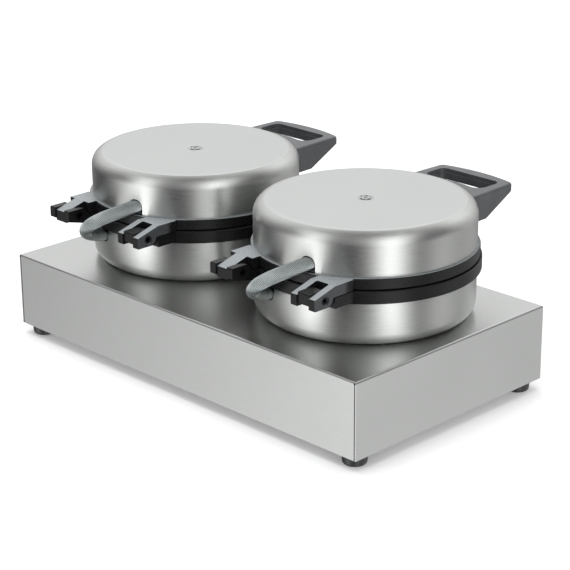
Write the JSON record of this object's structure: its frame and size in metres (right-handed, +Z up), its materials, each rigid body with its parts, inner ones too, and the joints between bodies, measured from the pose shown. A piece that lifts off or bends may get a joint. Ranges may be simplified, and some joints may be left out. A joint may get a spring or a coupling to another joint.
{
  "type": "waffle cone maker",
  "caption": "Electric waffle cone maker: round hinged irons with loop handles on a low stainless base with rubber feet.",
  "frame": {"origin": "under the middle of the whole outline, on the surface the feet stand on", "axes": "+X along the base, +Y towards the hinges, +Z up; the handles and controls are at -Y"},
  "size_m": [0.572, 0.3664, 0.2257],
  "materials": {
    "stainless": "satin brushed stainless sheet",
    "shell_steel": "satin stainless, brushed round the rim",
    "cast": "dark coated casting",
    "handle": "black heat-resistant moulding",
    "rubber": "black rubber",
    "conduit": "woven zinc-grey metal sleeve",
    "zinc": "plain zinc-plated steel",
    "dark_steel": "blackened steel",
    "heater": "dull sheathed element",
    "wool": "mineral fibre",
    "black_plastic": "black moulded plastic",
    "knob": "black glossy plastic",
    "rocker": "red translucent plastic",
    "lens": "amber lens",
    "brass": "plain brass"
  },
  "bodies": {
    "base": {"housing": "stainless", "bottom_plate": "stainless", "bottom_screws": "zinc", "feet": "rubber", "foot_screws": "zinc", "terminal_block": "black_plastic", "gland_body": "black_plastic", "gland_nut": "black_plastic", "gland_seal": "rubber", "gland_locknut": "black_plastic", "left_switch_body": "black_plastic", "left_lamp_lens": "lens", "left_lamp_holder": "black_plastic", "left_thermostat": "black_plastic", "left_lower_shell": "shell_steel", "left_lower_plate": "cast", "left_lower_heater": "heater", "left_lower_insulation": "wool", "left_lower_bolt": "zinc", "left_sensor": "zinc", "left_hinge_pins": "dark_steel", "left_conduit": "conduit", "right_switch_body": "black_plastic", "right_lamp_lens": "lens", "right_lamp_holder": "black_plastic", "right_thermostat": "black_plastic", "right_lower_shell": "shell_steel", "right_lower_plate": "cast", "right_lower_heater": "heater", "right_lower_insulation": "wool", "right_lower_bolt": "zinc", "right_sensor": "zinc", "right_hinge_pins": "dark_steel", "right_conduit": "conduit"},
    "left_lid": {"left_upper_plate": "cast", "left_upper_shell": "shell_steel", "left_upper_heater": "heater", "left_upper_insulation": "wool", "left_lid_screw": "zinc", "left_handle_outer": "handle", "left_handle_inner": "handle", "left_handle_bracket": "zinc", "left_handle_screws": "zinc"},
    "left_rocker": {"left_rocker": "rocker"},
    "left_knob": {"left_knob": "knob", "left_spindle": "brass"},
    "right_lid": {"right_upper_plate": "cast", "right_upper_shell": "shell_steel", "right_upper_heater": "heater", "right_upper_insulation": "wool", "right_lid_screw": "zinc", "right_handle_outer": "handle", "right_handle_inner": "handle", "right_handle_bracket": "zinc", "right_handle_screws": "zinc"},
    "right_rocker": {"right_rocker": "rocker"},
    "right_knob": {"right_knob": "knob", "right_spindle": "brass"}
  },
  "joints": [
    {"name": "left_lid_hinge", "type": "hinge", "parent": "base", "child": "left_lid", "pos_m": [-0.1475, 0.15255, 0.1653], "axis": [-1, 0, 0], "range_deg": [0, 100], "deforming": ["left_conduit"]},
    {"name": "left_rocker_tilt", "type": "hinge", "parent": "base", "child": "left_rocker", "pos_m": [-0.1755, -0.12565, 0.0565], "axis": [-1, 0, 0], "range_deg": [0, 16]},
    {"name": "left_knob_turn", "type": "hinge", "parent": "base", "child": "left_knob", "pos_m": [-0.1135, -0.12865, 0.0565], "axis": [0, 1, 0], "range_deg": [0, 270]},
    {"name": "right_lid_hinge", "type": "hinge", "parent": "base", "child": "right_lid", "pos_m": [0.1255, 0.15255, 0.1653], "axis": [-1, 0, 0], "range_deg": [0, 100], "deforming": ["right_conduit"]},
    {"name": "right_rocker_tilt", "type": "hinge", "parent": "base", "child": "right_rocker", "pos_m": [0.0975, -0.12565, 0.0565], "axis": [-1, 0, 0], "range_deg": [0, 16]},
    {"name": "right_knob_turn", "type": "hinge", "parent": "base", "child": "right_knob", "pos_m": [0.1595, -0.12865, 0.0565], "axis": [0, 1, 0], "range_deg": [0, 270]}
  ]
}
